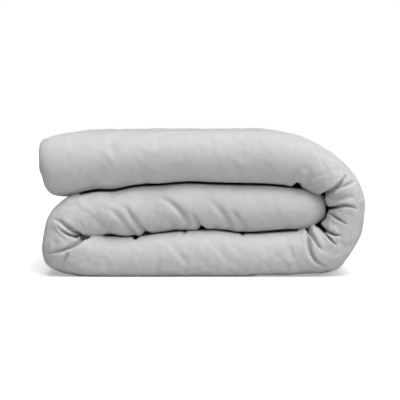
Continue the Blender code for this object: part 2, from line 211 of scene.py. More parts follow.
coverShape = {
    # place along the duvet, then x and z of its outer and of its inner side where it is full
    "outline": [
        (0.000, 0.2474, 0.1725, 0.2444, 0.1075),
        (0.020, 0.2284, 0.1755, 0.2264, 0.0990),
        (0.050, 0.1984, 0.1800, 0.1984, 0.0940),
        (0.074, 0.1746, 0.1820, 0.1746, 0.0944),
        (0.108, 0.1400, 0.1865, 0.1400, 0.0905),
        (0.164, 0.0840, 0.1880, 0.0840, 0.0895),
        (0.222, 0.0260, 0.1895, 0.0260, 0.0965),
        (0.273, -0.0250, 0.1915, -0.0250, 0.0950),
        (0.332, -0.0840, 0.1865, -0.0840, 0.0900),
        (0.381, -0.1330, 0.1838, -0.1330, 0.0835),
        (0.428, -0.1800, 0.1742, -0.1800, 0.0850),
        (0.463, -0.2150, 0.1738, -0.2150, 0.0870),
        (0.496, -0.2680, 0.1625, -0.2340, 0.0880),
        (0.520, -0.3000, 0.1400, -0.2390, 0.0883),
        (0.536, -0.3140, 0.1180, -0.2405, 0.0880),
        (0.553, -0.3205, 0.0900, -0.2412, 0.0873),
        (0.576, -0.3245, 0.0530, -0.2412, 0.0866),
        (0.591, -0.3180, 0.0270, -0.2400, 0.0860),
        (0.609, -0.2940, 0.0095, -0.2370, 0.0855),
        (0.631, -0.2580, 0.0010, -0.2280, 0.0850),
        (0.6665, -0.2000, 0.0000, -0.2000, 0.0838),
        (0.7335, -0.1330, 0.0000, -0.1330, 0.0825),
        (0.7825, -0.0840, 0.0000, -0.0840, 0.0890),
        (0.8415, -0.0250, 0.0000, -0.0250, 0.0940),
        (0.8925, 0.0260, 0.0000, 0.0260, 0.0955),
        (0.9505, 0.0840, 0.0000, 0.0840, 0.0885),
        (1.0065, 0.1400, 0.0000, 0.1400, 0.0910),
        (1.0635, 0.1970, 0.0005, 0.1970, 0.0930),
        (1.0966, 0.2420, 0.0030, 0.2220, 0.0940),
        (1.1252, 0.2787, 0.0142, 0.2430, 0.0945),
        (1.1545, 0.3050, 0.0440, 0.2555, 0.1015),
        (1.1861, 0.3256, 0.0817, 0.2625, 0.1200),
        (1.2247, 0.3348, 0.1331, 0.2695, 0.1375),
        (1.2487, 0.3327, 0.1656, 0.2655, 0.1530),
        (1.2798, 0.3154, 0.2042, 0.2575, 0.1665),
        (1.3162, 0.2827, 0.2400, 0.2430, 0.1725),
        (1.3452, 0.2500, 0.2620, 0.2265, 0.1760),
        (1.3723, 0.2175, 0.2790, 0.2065, 0.1820),
        (1.3975, 0.1850, 0.2895, 0.1850, 0.1850),
        (1.4220, 0.1520, 0.2940, 0.1520, 0.1870),
        (1.4900, 0.0840, 0.2944, 0.0840, 0.1885),
        (1.5480, 0.0260, 0.2944, 0.0260, 0.1900),
        (1.5990, -0.0250, 0.2944, -0.0250, 0.1920),
        (1.6580, -0.0840, 0.2944, -0.0840, 0.1880),
        (1.7070, -0.1330, 0.2940, -0.1330, 0.1860),
        (1.7540, -0.1800, 0.2935, -0.1800, 0.1765),
        (1.7890, -0.2150, 0.2925, -0.2150, 0.1760),
        (1.8420, -0.2680, 0.2925, -0.2680, 0.1630),
        (1.8700, -0.2960, 0.2920, -0.2960, 0.1610),
        (1.9006, -0.3266, 0.2920, -0.3266, 0.1600),
    ],
    "tipLength": 0.09,
    "tipReach": 0.008,  # how much further the tucked end reaches than its seam is drawn
    "zipLip": 0.0042,  # how far the filled edge bulges over the zip
    "middleSet": 0.007,  # how far the front of the middle third lies behind the other two
    "tipSet": 0.019,  # how far the front of the tucked end lies behind the front folds
    "floorSag": 0.45,  # how far the front fold sags square on the floor, from 0, round
    "floorEase": 0.07,  # along the duvet, where the sag starts and ends
    "middleEase": 0.14,  # and where the middle third starts to lie behind
    "slotHalf": 0.0013,  # half the gap where the duvet lies on itself
    "tuckedRound": 0.045,  # how far in from each edge the cover reaches its full height
    "zippedRound": 0.050,
    "zippedUneven": 0.010,  # more of it above the zip and less below
    "sideRound": 0.036,
    "rowStep": 0.0072,  # mesh step along the duvet
    "frontSteps": 24,  # mesh steps round the front fold
    "flatSteps": 20,  # mesh steps from the front fold to each side seam
    "endTurns": (0, 15, 27, 38, 48, 57, 65),  # mesh steps where the cover turns in to its ends, in degrees
    "sideTurns": (72, 56, 42, 28, 14, 0),  # and to its side seams
    "frontUv": 0.073,  # half the way round the front fold, on the flat cloth
    "sideUv": 0.614,  # and from there to the side seam
    "lengthUv": 1.12,
}


def outlineAt(s):
    row = curveThrough(coverShape["outline"], s)
    return row[..., :2], row[..., 2:]


def coverStations():  # even steps of the outer side and the middle together
    fine = np.linspace(0, duvetLength, 4001)
    outer, inner = outlineAt(fine)
    step = np.hypot(*np.diff(outer, axis=0).T) * 0.5 + np.diff(fine) * 0.5
    travel = np.concatenate([[0], np.cumsum(step)])
    count = int(travel[-1] / coverShape["rowStep"])
    even = np.interp(np.linspace(0, travel[-1], count + 1), travel, fine)
    tucked, zipped = coverShape["tuckedRound"], coverShape["zippedRound"]
    even = even[(even > 0.75 * tucked) & (even < duvetLength - 0.75 * zipped)]
    turnIn = 1 - np.cos(np.radians(coverShape["endTurns"]))
    return np.concatenate([tucked * turnIn, even, duvetLength - zipped * turnIn[::-1]])


def coverShares():  # 0 on the lengthwise fold, 1 where its round ends, 2 at the side seam
    front = np.linspace(0, 1, coverShape["frontSteps"] // 2 + 1)
    edge = coverShape["sideRound"] / (foldPlan["depth"] - bottomZ)
    flat = np.linspace(0, 1, coverShape["flatSteps"] + 1)[1:]
    flat = 1 + (1 - edge) * flat ** 1.15  # closer together at the front
    seam = 2 - edge * (1 - np.cos(np.radians(coverShape["sideTurns"])))
    half = np.concatenate([front[1:], flat, seam])
    return np.concatenate([-half[::-1], [0], half])


def edgeRound(distance, radius, sharp=0.5):
    t = np.clip(distance / radius, 0, 1)
    return np.clip(1 - (1 - t) ** 2, 0, 1) ** sharp


def leastOf(*shares):  # close to the smallest, without a crease where they are equal
    return np.clip(1 - sum((1 - share) ** 4.0 for share in shares) ** 0.25, 0, 1)


def coverPoints(s, share, side):
    half = halfThickness(s)
    x, z, heading = middlePath(s)
    turn = np.clip(share, -1, 1) * math.pi / 2
    past = np.maximum(np.abs(share) - 1, 0)
    seamY = half / 2 * (2 - np.cos(turn)) + past * (foldPlan["depth"] - half)
    off = half / 2 * np.sin(turn)
    seam = np.stack([x - off * np.sin(heading), seamY, z + off * np.cos(heading)], -1)
    outer, inner = outlineAt(s)
    centre, reach = (outer + inner) / 2, np.hypot(*np.moveaxis(outer - inner, -1, 0)) / 2
    towards = np.where((share < 0)[..., None], outer - centre, inner - centre)
    if side < 0:
        slot = coverShape["slotHalf"]
        towards = towards * (slot / reach)[..., None]
        fullY = reach - slot * np.cos(turn) + past * (foldPlan["depth"] - reach)
    else:
        ease = coverShape["floorEase"]
        resting = smoothStep((s - leftEnd + 0.03) / ease)
        resting = resting * (1 - smoothStep((s - rightStart + 0.02) / ease)) * (share < 0)
        bend = np.clip(np.cos(turn), 0, 1) ** (1 - coverShape["floorSag"] * resting)
        fullY = reach * (1 - bend) + past * (foldPlan["depth"] - reach)
    flat = centre + towards * np.abs(np.sin(turn))[..., None]
    full = np.stack([flat[..., 0], fullY, flat[..., 1]], -1)
    zipped = coverShape["zippedRound"] - coverShape["zippedUneven"] * np.tanh(2.5 * share)
    fill = leastOf(
        edgeRound(s, coverShape["tuckedRound"]),
        edgeRound(duvetLength - s, zipped, 0.65),
        edgeRound(foldPlan["depth"] - seamY, coverShape["sideRound"]),
    )
    fill = np.where(fill < 2e-5, 0, fill)
    points = seam + (full - seam) * fill[..., None]
    fromZip = (duvetLength - s) / coverShape["zippedRound"]
    lip = smoothStep((fromZip - 0.03) / 0.17) * (1 - smoothStep((fromZip - 0.35) / 0.65))
    points[..., 0] -= coverShape["zipLip"] * lip * (side > 0)
    tip = np.clip(1 - s / coverShape["tipLength"], 0, 1) ** 2
    points[..., 0] += coverShape["tipReach"] * tip
    tucked = 1 - smoothStep((s - leftStart + 0.16) / coverShape["middleEase"])
    setBack = coverShape["middleSet"] * tucked + coverShape["tipSet"] * tip
    points[..., 1] += setBack * (1 - smoothStep((np.abs(share) - 1) / 0.4))
    points[..., 1] += frontY
    return points


def addPanel(name, side):
    stations, shares = coverStations(), coverShares()
    clearSelection()
    bpy.ops.mesh.primitive_grid_add(x_subdivisions=len(stations) - 1, y_subdivisions=len(shares) - 1, size=2)
    panel = bpy.context.object
    panel.name = name
    flat = getPoints(panel)
    i = np.rint((flat[:, 0] + 1) / 2 * (len(stations) - 1)).astype(int)
    j = np.rint((flat[:, 1] + 1) / 2 * (len(shares) - 1)).astype(int)
    s, share = stations[i], shares[j]
    onFront, onSide = np.minimum(np.abs(share), 1), np.maximum(np.abs(share) - 1, 0)
    across = np.sign(share) * (onFront * coverShape["frontUv"] + onSide * coverShape["sideUv"])
    setUv(panel, np.stack([across, s * coverShape["lengthUv"]], -1))
    for label, values in (("along", s), ("share", share), ("side", np.full(len(s), float(side)))):
        panel.data.attributes.new(label, "FLOAT", "POINT").data.foreach_set("value", values)
    setPoints(panel, coverPoints(s, share, side))
    return panel


facePanel = addPanel("cover", 1)
reversePanel = addPanel("cover_reverse", -1)
pick(reversePanel, facePanel)
bpy.ops.object.join()
cover = bpy.context.object
weld(cover, 0.00002)
frontFold = (getNumbers(cover, "side") > 0.5) & (np.abs(getNumbers(cover, "share")) < 0.1)
if getNormals(cover)[frontFold, 1].mean() > 0:  # a bag folded on itself can come out turned inside out
    cover.data.flip_normals()
print("cover mesh", len(cover.data.vertices), "points")

clothSim = {
    "frames": 18,
    "pressure": 3.0,
    "stretch": 12.0,
    "bend": 0.25,
    "weight": 0.25,
    "spare": 0.010,  # how much larger than its place the cloth is everywhere
    "spareMost": 0.06,  # and where it gathers at the bends
    "frontSpare": 0.28,  # on the front, as a share of the way from the first to the second
    "holdLeast": 0.22,  # how firmly the freest cloth is held to its place
    "holdSpring": 3.0,
    "reach": 0.012,  # the most that a point may move
}


clothZones = {
    # how freely the cloth moves, from 0, held between two thirds, to 1
    "sideSeam": 0.7,
    "reverseSeam": 0.6,  # as a share of the one above
    "zippedEnd": 0.5,
    "zipHold": 0.45,  # what the zip takes from the cloth beside it
    "ease": 0.05,  # how fast one zone turns into the next, along the duvet
    "leftEase": 0.04,
    "frontEase": 0.2,  # and across it, where 1 is the front fold's round or a side's whole width
}
gatherPlaces = {
    "share": 0.62,  # the inner side of the front fold
    "shareWidth": 0.4,
    "rightWidth": 0.10,  # to each side of the middle of a bend
    "leftWidth": 0.06,
    "leftMost": 0.7,
    "sideSeam": 0.5,
}


def freedom(s, share, side, zones):
    ease = zones["ease"]
    front = 1 - smoothStep((np.abs(share) - 1.02) / zones["frontEase"])
    seam = zones["sideSeam"] * smoothStep((np.abs(share) - 1.88) / 0.08)
    leftBend = smoothStep((s - leftStart + ease) / ease) * (1 - smoothStep((s - leftEnd) / zones["leftEase"]))
    rightBend = smoothStep((s - rightStart) / ease) * (1 - smoothStep((s - rightEnd + ease) / ease))
    top = smoothStep((s - rightEnd + ease) / ease)
    outer = np.where(share < 0, np.clip(leftBend + rightBend + top, 0, 1), 0)
    end = smoothStep((s - duvetLength + 0.07) / ease)
    nearZip = 1 - zones["zipHold"] * end
    free = np.maximum.reduce([front * nearZip, seam, outer * nearZip, end * zones["zippedEnd"]])
    return np.where(side > 0, free, seam * zones["reverseSeam"])


def gathers(s, share, side, places, onFront):  # 1 where there is the most cloth to spare
    inside = np.exp(-((share - places["share"]) / places["shareWidth"]) ** 2)
    right = np.exp(-((s - (rightStart + rightEnd) / 2) / places["rightWidth"]) ** 2)
    left = np.exp(-((s - (leftStart + leftEnd) / 2) / places["leftWidth"]) ** 2)
    seam = smoothStep((np.abs(share) - 1.93) / 0.05) * places["sideSeam"]
    front = onFront * (1 - smoothStep((np.abs(share) - 0.6) / 0.4))
    return np.clip(inside * (right + places["leftMost"] * left) + seam + front * (side > 0), 0, 1)


def settleCloth(item, plan):
    s, share, side = (getNumbers(item, label) for label in ("along", "share", "side"))
    free = freedom(s, share, side, clothZones)
    spare = gathers(s, share, side, gatherPlaces, plan["frontSpare"])
    for label, values in (("hold", 1 - free * (1 - plan["holdLeast"])), ("even", 1 - spare)):
        group = item.vertex_groups.new(name=label)
        for level in range(0, 101, 4):
            near = np.flatnonzero(np.rint(values * 25).astype(int) == level // 4)
            if len(near):
                group.add(near.tolist(), level / 100, "REPLACE")
    rest = getPoints(item)
    modifier = item.modifiers.new("settle", "CLOTH")
    sim = modifier.settings
    sim.quality = 4
    sim.mass = plan["weight"]
    sim.tension_stiffness = sim.compression_stiffness = plan["stretch"]
    sim.shear_stiffness = plan["stretch"] / 2
    sim.bending_stiffness = plan["bend"]
    sim.air_damping = 3
    sim.effector_weights.gravity = 0
    sim.use_pressure = True
    sim.uniform_pressure_force = plan["pressure"]
    sim.vertex_group_mass = "hold"
    sim.pin_stiffness = plan["holdSpring"]
    sim.vertex_group_shrink = "even"
    sim.shrink_min, sim.shrink_max = -plan["spareMost"], -plan["spare"]
    modifier.collision_settings.use_collision = False
    modifier.point_cache.frame_end = plan["frames"] + 5
    for number in range(1, plan["frames"] + 1):
        bpy.context.scene.frame_set(number)
    pick(item)
    bpy.ops.object.modifier_apply(modifier=modifier.name)
    bpy.context.scene.frame_set(1)
    moved = getPoints(item) - rest
    size = np.linalg.norm(moved, axis=1, keepdims=True)
    limit = plan["reach"]
    moved = moved * np.where(size > 1e-9, limit * np.tanh(size / limit) / np.maximum(size, 1e-9), 1)
    setPoints(item, rest + moved)
    print("cloth moved up to", round(float(size.max()), 4), "mean", round(float(size.mean()), 4))


creaseStrokes = {
    # part of the duvet, depth, width, height of its lips,
    # and x and z of the crease on the front, from its gap outwards
    "lines": [
        ("tucked", 0.0085, 0.0060, 0.0034, [
            (-0.110, 0.088), (-0.128, 0.107), (-0.141, 0.125), (-0.149, 0.138), (-0.163, 0.149),
        ]),
        ("tucked", 0.0046, 0.0065, 0.0020, [
            (-0.136, 0.088), (-0.155, 0.109), (-0.171, 0.129), (-0.189, 0.145),
        ]),
        ("tucked", 0.0064, 0.0058, 0.0026, [
            (-0.027, 0.111), (-0.039, 0.131), (-0.053, 0.145), (-0.070, 0.157), (-0.088, 0.165),
        ]),
        ("tucked", 0.0075, 0.0050, 0.0030, [
            (0.009, 0.092), (-0.003, 0.105), (-0.011, 0.119), (-0.021, 0.137),
        ]),
        ("tucked", 0.0040, 0.0075, 0.0016, [
            (0.060, 0.103), (0.046, 0.127), (0.030, 0.147), (0.011, 0.163),
        ]),
        ("tucked", 0.0044, 0.0060, 0.0016, [(0.088, 0.100), (0.074, 0.123), (0.058, 0.139)]),
        ("tucked", 0.0022, 0.0065, 0.0008, [(-0.055, 0.098), (-0.068, 0.119), (-0.080, 0.133)]),
        ("tucked", 0.0022, 0.0085, 0.0008, [(-0.185, 0.090), (-0.209, 0.113), (-0.236, 0.139)]),
        ("leftBend", 0.0130, 0.0050, 0.0044, [
            (-0.236, 0.084), (-0.256, 0.093), (-0.270, 0.104), (-0.284, 0.114), (-0.298, 0.118),
        ]),
        ("leftBend", 0.0180, 0.0036, 0.0036, [
            (-0.230, 0.080), (-0.252, 0.082), (-0.266, 0.087), (-0.278, 0.094), (-0.290, 0.104),
        ]),
        ("leftBend", 0.0125, 0.0038, 0.0040, [
            (-0.232, 0.082), (-0.240, 0.075), (-0.252, 0.067), (-0.266, 0.061), (-0.284, 0.055),
            (-0.301, 0.051), (-0.317, 0.046),
        ]),
        ("leftBend", 0.0070, 0.0028, 0.0016, [(-0.270, 0.048), (-0.276, 0.037), (-0.283, 0.025)]),
        ("leftBend", 0.0020, 0.0040, 0.0006, [(-0.298, 0.044), (-0.315, 0.033)]),
        ("leftBend", 0.0016, 0.0055, 0.0006, [(-0.280, 0.082), (-0.292, 0.094), (-0.307, 0.109)]),
        ("bottom", 0.0120, 0.0060, 0.0010, [(-0.133, 0.090), (-0.134, 0.076)]),
        ("bottom", 0.0024, 0.0090, 0.0008, [(-0.060, 0.068), (-0.041, 0.046), (-0.025, 0.025)]),
        ("bottom", 0.0020, 0.0090, 0.0007, [(0.028, 0.068), (0.050, 0.042), (0.072, 0.021)]),
        ("bottom", 0.0045, 0.0050, 0.0006, [(0.085, 0.092), (0.086, 0.082)]),
        ("bottom", 0.0035, 0.0050, 0.0006, [(-0.033, 0.094), (-0.033, 0.084)]),
        ("bottom", 0.0130, 0.0038, 0.0040, [
            (0.216, 0.082), (0.219, 0.062), (0.224, 0.046), (0.234, 0.033), (0.246, 0.025),
            (0.258, 0.019),
        ]),
        ("rightBend", 0.0150, 0.0034, 0.0042, [
            (0.216, 0.096), (0.226, 0.082), (0.234, 0.070), (0.243, 0.056),
        ]),
        ("rightBend", 0.0125, 0.0030, 0.0034, [
            (0.238, 0.094), (0.248, 0.092), (0.258, 0.083), (0.266, 0.074), (0.275, 0.064),
        ]),
        ("rightBend", 0.0200, 0.0038, 0.0056, [
            (0.234, 0.109), (0.246, 0.100), (0.258, 0.093), (0.271, 0.087), (0.285, 0.086),
        ]),
        ("rightBend", 0.0080, 0.0028, 0.0022, [(0.269, 0.126), (0.283, 0.116), (0.297, 0.108)]),
        ("rightBend", 0.0160, 0.0034, 0.0044, [
            (0.252, 0.133), (0.262, 0.139), (0.277, 0.144), (0.291, 0.147), (0.305, 0.145),
            (0.317, 0.138),
        ]),
        ("rightBend", 0.0050, 0.0070, 0.0020, [
            (0.254, 0.176), (0.271, 0.165), (0.287, 0.162), (0.313, 0.164),
        ]),
        ("rightBend", 0.0180, 0.0040, 0.0058, [
            (0.250, 0.167), (0.262, 0.176), (0.273, 0.183), (0.283, 0.193), (0.297, 0.209),
        ]),
        ("rightBend", 0.0054, 0.0040, 0.0020, [(0.269, 0.178), (0.291, 0.187), (0.317, 0.197)]),
        ("rightBend", 0.0022, 0.0070, 0.0008, [(0.277, 0.074), (0.293, 0.062), (0.305, 0.066)]),
        ("top", 0.0110, 0.0080, 0.0010, [(0.197, 0.180), (0.196, 0.194)]),
        ("top", 0.0026, 0.0070, 0.0012, [(0.212, 0.188), (0.220, 0.212), (0.224, 0.232)]),
        ("top", 0.0022, 0.0070, 0.0010, [(0.169, 0.192), (0.190, 0.214), (0.212, 0.226)]),
        ("top", 0.0016, 0.0080, 0.0008, [(-0.108, 0.190), (-0.120, 0.204), (-0.126, 0.224)]),
    ],
    "deepest": 0.017,
    "lipSpread": 2.1,  # how far the top of a lip lies from the crease, in crease widths
    "fromFront": 1.25,  # share of the width past which a crease has faded out
}

legSpans = {
    "tucked": (-1, leftStart + 0.02),
    "leftBend": (leftStart - 0.06, leftEnd + 0.05),
    "bottom": (leftEnd - 0.01, rightStart + 0.09),
    "rightBend": (rightStart - 0.01, rightEnd + 0.03),
    "top": (rightEnd - 0.09, 9),
}


def strokeDistance(px, pz, line):  # signed distance from a line of points, and place along it from 0 to 1
    line = np.asarray(line, float)
    steps = np.diff(line, axis=0)
    lengths = np.hypot(*steps.T)
    before = np.concatenate([[0], np.cumsum(lengths)])
    best = np.full(len(px), 1e9)
    signed, along = np.zeros(len(px)), np.zeros(len(px))
    for start, step, length, done in zip(line, steps, lengths, before):
        dx, dz = px - start[0], pz - start[1]
        t = np.clip((dx * step[0] + dz * step[1]) / length**2, 0, 1)
        away = np.hypot(dx - t * step[0], dz - t * step[1])
        nearer = away < best
        best = np.where(nearer, away, best)
        signed = np.where(nearer, np.copysign(away, step[0] * dz - step[1] * dx), signed)
        along = np.where(nearer, (done + t * length) / before[-1], along)
    return signed, along


def addCreases(item, plan):
    s, share, side = (getNumbers(item, label) for label in ("along", "share", "side"))
    points, normals = getPoints(item), getNormals(item)
    push = np.zeros(len(points))
    near = (1 - smoothStep((np.abs(share) - 1) / (plan["fromFront"] - 1))) * (side > 0.5)
    near = near * smoothStep((share + 1.0) / 0.35)  # the outer edge stays whole
    for leg, depth, width, lip, line in plan["lines"]:
        low, high = legSpans[leg]
        inside = smoothStep((s - low) / 0.02) * smoothStep((high - s) / 0.02) * near
        at = np.flatnonzero(inside > 0.001)
        signed, along = strokeDistance(points[at, 0], points[at, 2], line)
        fade = np.clip(0.55 + along * 4, 0, 1) * (1 - along**2.4)
        away = np.abs(signed) / (width * (1.1 - 0.45 * along))
        spread = plan["lipSpread"]
        hill = (away / spread) * np.exp(1 - away / spread) * (away < 9)
        valley = np.exp(-(away**2))
        push[at] += inside[at] * fade * (lip * hill - depth * valley)
    deepest = plan["deepest"]
    push = np.where(push < 0, deepest * np.tanh(push / deepest), push)  # where creases meet they don't add up
    setPoints(item, points + normals * push[:, None])
    print("creases pressed up to", round(float(-push.min()), 4))


def subdivideOnce(item):
    pick(item)
    modifier = item.modifiers.new("finer", "SUBSURF")
    modifier.levels = modifier.render_levels = 1
    bpy.ops.object.modifier_apply(modifier=modifier.name)


def refineBends(item):  # one more subdivision where the front gathers at the two bends
    corners = getCorners(item)
    atCorners = [getNumbers(item, label)[corners] for label in ("along", "share", "side")]
    s, share, side = (values.reshape(-1, 4).mean(axis=1) for values in atCorners)
    atLeft = (s > leftStart - 0.05) & (s < leftEnd + 0.03)
    atRight = (s > rightStart - 0.05) & (s < rightEnd + 0.02)
    pick(item)
    bpy.ops.object.mode_set(mode="EDIT")
    bpy.ops.mesh.select_mode(type="FACE")
    bpy.ops.mesh.select_all(action="DESELECT")
    bpy.ops.object.mode_set(mode="OBJECT")
    chosen = (atLeft | atRight) & (share > -1.0) & (share < 1.2) & (side > 0.5)
    item.data.polygons.foreach_set("select", chosen)
    bpy.ops.object.mode_set(mode="EDIT")
    bpy.ops.mesh.subdivide(number_cuts=1, smoothness=1.0)
    bpy.ops.object.mode_set(mode="OBJECT")


contactPlan = {  # kept free under the duvet, between its thirds, and more of it between their rounded fronts
    "floor": 0.0004,
    "clearance": 0.0004,
    "frontRoom": 0.0025,
}
# x, and how far the cloth's edge stays above the floor there
floorEdge = [
    (-0.34, 0.004), (-0.27, 0.001), (-0.20, 0), (0.09, 0),
    (0.12, 0.0035), (0.19, 0.004), (0.24, 0.008),
]


def facingLine(*spans):  # z against x, halfway between two sides of the outline that lie on each other
    lines = []
    for low, high, column in spans:
        side = outlineAt(np.linspace(low, high, 240))[column]
        side = side[np.argsort(side[:, 0])]
        lines.append(side)
    first, last = max(line[0, 0] for line in lines), min(line[-1, 0] for line in lines)
    x = np.linspace(first, last, 300)
    return x, sum(np.interp(x, line[:, 0], line[:, 1]) for line in lines) / 2


def pressTogether(item, plan):
    s, share, side = (getNumbers(item, label) for label in ("along", "share", "side"))
    points = getPoints(item)
    front = smoothStep((share + 1.5) / 0.5) * (share < 0.2)
    room = plan["clearance"] + plan["frontRoom"] * (1 - smoothStep((np.abs(share) - 1.0) / 0.15))
    edge = np.interp(points[:, 0], *zip(*floorEdge))
    onFloor = (s > leftEnd - 0.03) & (side > 0.5) & (share < 0)
    lift = edge * front * onFloor * np.clip(1 - points[:, 2] / 0.03, 0, 1)
    points[:, 2] += lift * (1 - smoothStep((s - rightStart + 0.01) / 0.07))
    tucked, bottom, top = (0.02, leftStart, 0), (leftEnd, rightStart, 1), (rightEnd, duvetLength - 0.01, 1)
    upper = facingLine(tucked, top)
    lower = facingLine((0.02, leftStart, 1), bottom)
    for line, above, below in (
        (upper, (s > rightEnd) & (share > 0), (s < leftStart) & (share < 0)),
        (lower, (s < leftStart) & (share > 0), (s > leftEnd) & (s < rightStart) & (share > 0)),
    ):
        within = (points[:, 0] > line[0][0]) & (points[:, 0] < line[0][-1]) & (side > 0.5)
        level = np.interp(points[:, 0], *line)
        high, low = within & above, within & below
        points[high, 2] = np.maximum(points[high, 2], level[high] + room[high])
        points[low, 2] = np.minimum(points[low, 2], level[low] - room[low])
    points[:, 2] = np.maximum(points[:, 2], plan["floor"])
    setPoints(item, points)


seamPucker = {"height": 0.0011, "pitch": 0.019, "reach": 0.035}  # gathers that the seam's thread pulls in


def puckerSeams(item, plan):
    s, share, side = (getNumbers(item, label) for label in ("along", "share", "side"))
    fromSeam = (2 - np.abs(share)) * 0.6
    wave = np.sin(2 * math.pi * s / plan["pitch"] + 2.1 * np.sin(s * 23) + np.sign(share))
    wave = wave + 0.5 * np.sin(2 * math.pi * s / (plan["pitch"] * 2.7) + 1.3 * np.sin(s * 11))
    t = np.clip(fromSeam / plan["reach"], 0, 1)
    push = plan["height"] * wave * np.sin(math.pi * np.sqrt(t)) * (fromSeam < plan["reach"]) * np.sign(side)
    setPoints(item, getPoints(item) + getNormals(item) * push[:, None])


settleCloth(cover, clothSim)
subdivideOnce(cover)
refineBends(cover)
pressTogether(cover, contactPlan)
addCreases(cover, creaseStrokes)
puckerSeams(cover, seamPucker)

print("cover pieces")


def bodyNodes(body):  # the soft solids that move with this body
    names = frame["record"]["behaviour"]["bodies"][body]
    return [name for name in names if name.startswith(("cover_", "fill_"))]


def cutOut(item, name, low, high):  # a copy of the faces between two places along the duvet
    pick(item)
    bpy.ops.object.duplicate()
    piece = bpy.context.object
    piece.name = piece.data.name = name
    along, corners = getNumbers(piece, "along"), getCorners(piece)
    starts = np.empty(len(piece.data.polygons), int)
    piece.data.polygons.foreach_get("loop_start", starts)
    counts = np.diff(np.append(starts, len(corners)))
    middle = np.add.reduceat(along[corners], starts) / counts
    bpy.ops.object.mode_set(mode="EDIT")
    bpy.ops.mesh.select_all(action="DESELECT")
    bpy.ops.mesh.select_mode(type="FACE")
    bpy.ops.object.mode_set(mode="OBJECT")
    piece.data.polygons.foreach_set("select", (middle < low) | (middle > high))
    bpy.ops.object.mode_set(mode="EDIT")
    bpy.ops.mesh.delete(type="FACE")
    bpy.ops.object.mode_set(mode="OBJECT")
    flat = np.empty(len(piece.data.vertices) * 3)
    piece.data.attributes["rounding"].data.foreach_get("vector", flat)
    piece.data.normals_split_custom_set_from_vertices(flat.reshape(-1, 3))
    for label in ("side", "rounding"):
        piece.data.attributes.remove(piece.data.attributes[label])
    return piece


# the whole cover's normals, kept so that the cuts don't show
rounding = cover.data.attributes.new("rounding", "FLOAT_VECTOR", "POINT")
rounding.data.foreach_set("vector", getNormals(cover).ravel())
stations = coverStations()
cutAngles = (0, 60, 124, 188)  # degrees round the right bend
cutPlaces = []
for angle in cutAngles:
    wanted = rightStart + rightRadius * math.radians(angle)
    cutPlaces.append(stations[np.argmin(np.abs(stations - wanted))])
hingeLow, hingeMiddle, hingeHigh = foldPlan["hinges"]
coverParts = [
    # name, from, to, bodies it joins, angle of the hinge in the bend
    ("cover_lower", -1, cutPlaces[0], ("lower",), None),
    ("cover_bend_low", cutPlaces[0], cutPlaces[1], ("lower", "bend_low"), hingeLow),
    ("cover_bend_middle", cutPlaces[1], cutPlaces[2], ("bend_low", "bend_high"), hingeMiddle),
    ("cover_bend_high", cutPlaces[2], cutPlaces[3], ("bend_high", "top"), hingeHigh),
    ("cover_top", cutPlaces[3], 9, ("top",), None),
]
coverPieces = {}
for name, low, high, bodies, angle in coverParts:
    piece = coverPieces[name] = cutOut(cover, name, low, high)
    if angle is None:
        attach(piece, bodies[0])
        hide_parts(*bodyNodes(bodies[0]))
    else:
        x, z, heading = middlePath(rightStart + rightRadius * math.radians(angle))
        middle = Vector((float(x), 0, float(z)))
        towards = Vector((math.cos(math.radians(angle)), 0, math.sin(math.radians(angle))))
        places = (getPoints(piece) - np.array(middle)) @ np.array(towards)
        along = getNumbers(piece, "along")
        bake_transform(piece)
    for label in ("along", "share"):
        piece.data.attributes.remove(piece.data.attributes[label])
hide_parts(*bodyNodes("bend_low"))
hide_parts(*bodyNodes("bend_high"))
bpy.data.objects.remove(cover)

print("finishes")


def addNode(tree, kind, links=None, **values):
    node = tree.nodes.new(kind)
    for key, value in values.items():
        setattr(node, key, value)
    for name, source in (links or {}).items():
        socket = node.inputs[name]
        if isinstance(source, bpy.types.NodeSocket):
            tree.links.new(source, socket)
        else:
            socket.default_value = source
    return node


def addMath(tree, operation, first, second=0.0, third=0.0):
    node = addNode(tree, "ShaderNodeMath", {0: first, 1: second, 2: third}, operation=operation)
    return node.outputs[0]


def newGroup(name, inputs, outputs):
    group = bpy.data.node_groups.new(name, "ShaderNodeTree")
    for label, kind, value in inputs:
        socket = group.interface.new_socket(name=label, in_out="INPUT", socket_type=kind)
        if value is not None:
            socket.default_value = value
    for label, kind in outputs:
        group.interface.new_socket(name=label, in_out="OUTPUT", socket_type=kind)
    return group, addNode(group, "NodeGroupInput").outputs, addNode(group, "NodeGroupOutput").inputs


